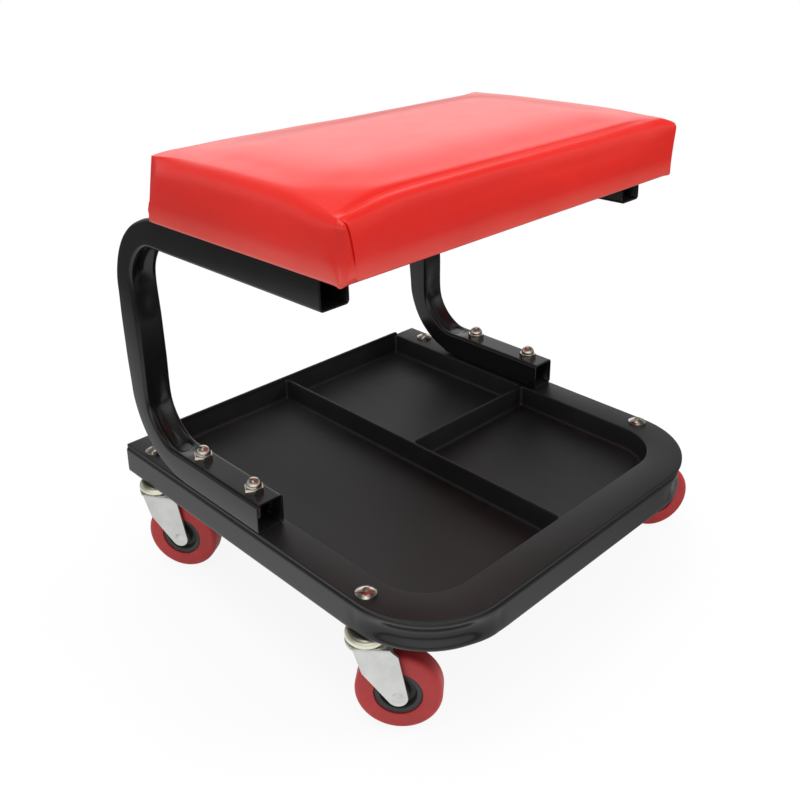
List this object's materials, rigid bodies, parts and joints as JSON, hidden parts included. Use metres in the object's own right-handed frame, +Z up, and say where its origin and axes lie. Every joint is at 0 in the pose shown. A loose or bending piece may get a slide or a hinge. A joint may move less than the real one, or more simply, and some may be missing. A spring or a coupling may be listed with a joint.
{
  "type": "creeper seat",
  "caption": "Low rolling mechanic's seat: padded rectangular cushion on bent square-tube side arms over a divided tool tray, on swivel casters.",
  "frame": {"origin": "On the floor, below the middle of the base frame's width and depth.", "axes": "+X to the sitter's right along the cushion's long side, +Y towards the back where the arms' posts stand, +Z up."},
  "size_m": [0.4054, 0.37, 0.3915],
  "materials": {
    "frame_paint": "satin black powder coat on bent square tube",
    "tray_plastic": "black moulded plastic with a fine grain",
    "seat_vinyl": "glossy red vinyl upholstery with a soft grain",
    "foam": "open-cell foam",
    "plywood": "raw plywood",
    "nickel": "bright nickel plate with a warm cast",
    "zinc": "bright zinc plate",
    "yellow_zinc": "yellow-passivated zinc plate",
    "bearing_steel": "polished bearing steel",
    "hub_plastic": "dark grey moulded plastic",
    "wheel_tread": "red polyurethane, satin"
  },
  "bodies": {
    "chassis": {"base_frame": "frame_paint", "tray": "tray_plastic", "left_arm": "frame_paint", "right_arm": "frame_paint", "seat_board": "plywood", "seat_foam": "foam", "seat_cover": "seat_vinyl", "cover_staples": "zinc", "arm_bolts": "zinc", "cap_nuts": "nickel", "caster_bolts": "nickel", "caster_nuts": "zinc", "seat_bolts": "zinc", "tee_nuts": "zinc", "front_left_housing": "yellow_zinc", "front_left_kingpin": "zinc", "front_right_housing": "yellow_zinc", "front_right_kingpin": "zinc", "back_left_housing": "yellow_zinc", "back_left_kingpin": "zinc", "back_right_housing": "yellow_zinc", "back_right_kingpin": "zinc"},
    "front_left_swivel": {"front_left_fork": "zinc", "front_left_axle": "zinc", "front_left_axle_nut": "zinc", "front_left_sleeve": "zinc", "front_left_balls": "bearing_steel"},
    "front_left_wheel": {"front_left_hub": "hub_plastic", "front_left_tyre": "wheel_tread"},
    "front_right_swivel": {"front_right_fork": "zinc", "front_right_axle": "zinc", "front_right_axle_nut": "zinc", "front_right_sleeve": "zinc", "front_right_balls": "bearing_steel"},
    "front_right_wheel": {"front_right_hub": "hub_plastic", "front_right_tyre": "wheel_tread"},
    "back_left_swivel": {"back_left_fork": "zinc", "back_left_axle": "zinc", "back_left_axle_nut": "zinc", "back_left_sleeve": "zinc", "back_left_balls": "bearing_steel"},
    "back_left_wheel": {"back_left_hub": "hub_plastic", "back_left_tyre": "wheel_tread"},
    "back_right_swivel": {"back_right_fork": "zinc", "back_right_axle": "zinc", "back_right_axle_nut": "zinc", "back_right_sleeve": "zinc", "back_right_balls": "bearing_steel"},
    "back_right_wheel": {"back_right_hub": "hub_plastic", "back_right_tyre": "wheel_tread"}
  },
  "joints": [
    {"name": "front_left_swivel_turn", "type": "hinge", "parent": "chassis", "child": "front_left_swivel", "pos_m": [-0.169, -0.1143, 0.0726], "axis": [0, 0, 1], "continuous": true},
    {"name": "front_left_wheel_roll", "type": "hinge", "parent": "front_left_swivel", "child": "front_left_wheel", "pos_m": [-0.15456, -0.13182, 0.03175], "axis": [-0.7716, -0.6361, 0], "continuous": true},
    {"name": "front_right_swivel_turn", "type": "hinge", "parent": "chassis", "child": "front_right_swivel", "pos_m": [0.169, -0.1143, 0.0726], "axis": [0, 0, 1], "continuous": true},
    {"name": "front_right_wheel_roll", "type": "hinge", "parent": "front_right_swivel", "child": "front_right_wheel", "pos_m": [0.18866, -0.12565, 0.03175], "axis": [-0.5, -0.866, 0], "continuous": true},
    {"name": "back_left_swivel_turn", "type": "hinge", "parent": "chassis", "child": "back_left_swivel", "pos_m": [-0.169, 0.1556, 0.0726], "axis": [0, 0, 1], "continuous": true},
    {"name": "back_left_wheel_roll", "type": "hinge", "parent": "back_left_swivel", "child": "back_left_wheel", "pos_m": [-0.15731, 0.13614, 0.03175], "axis": [-0.8572, -0.515, 0], "continuous": true},
    {"name": "back_right_swivel_turn", "type": "hinge", "parent": "chassis", "child": "back_right_swivel", "pos_m": [0.169, 0.1556, 0.0726], "axis": [0, 0, 1], "continuous": true},
    {"name": "back_right_wheel_roll", "type": "hinge", "parent": "back_right_swivel", "child": "back_right_wheel", "pos_m": [0.18505, 0.13955, 0.03175], "axis": [-0.7071, -0.7071, 0], "continuous": true}
  ]
}
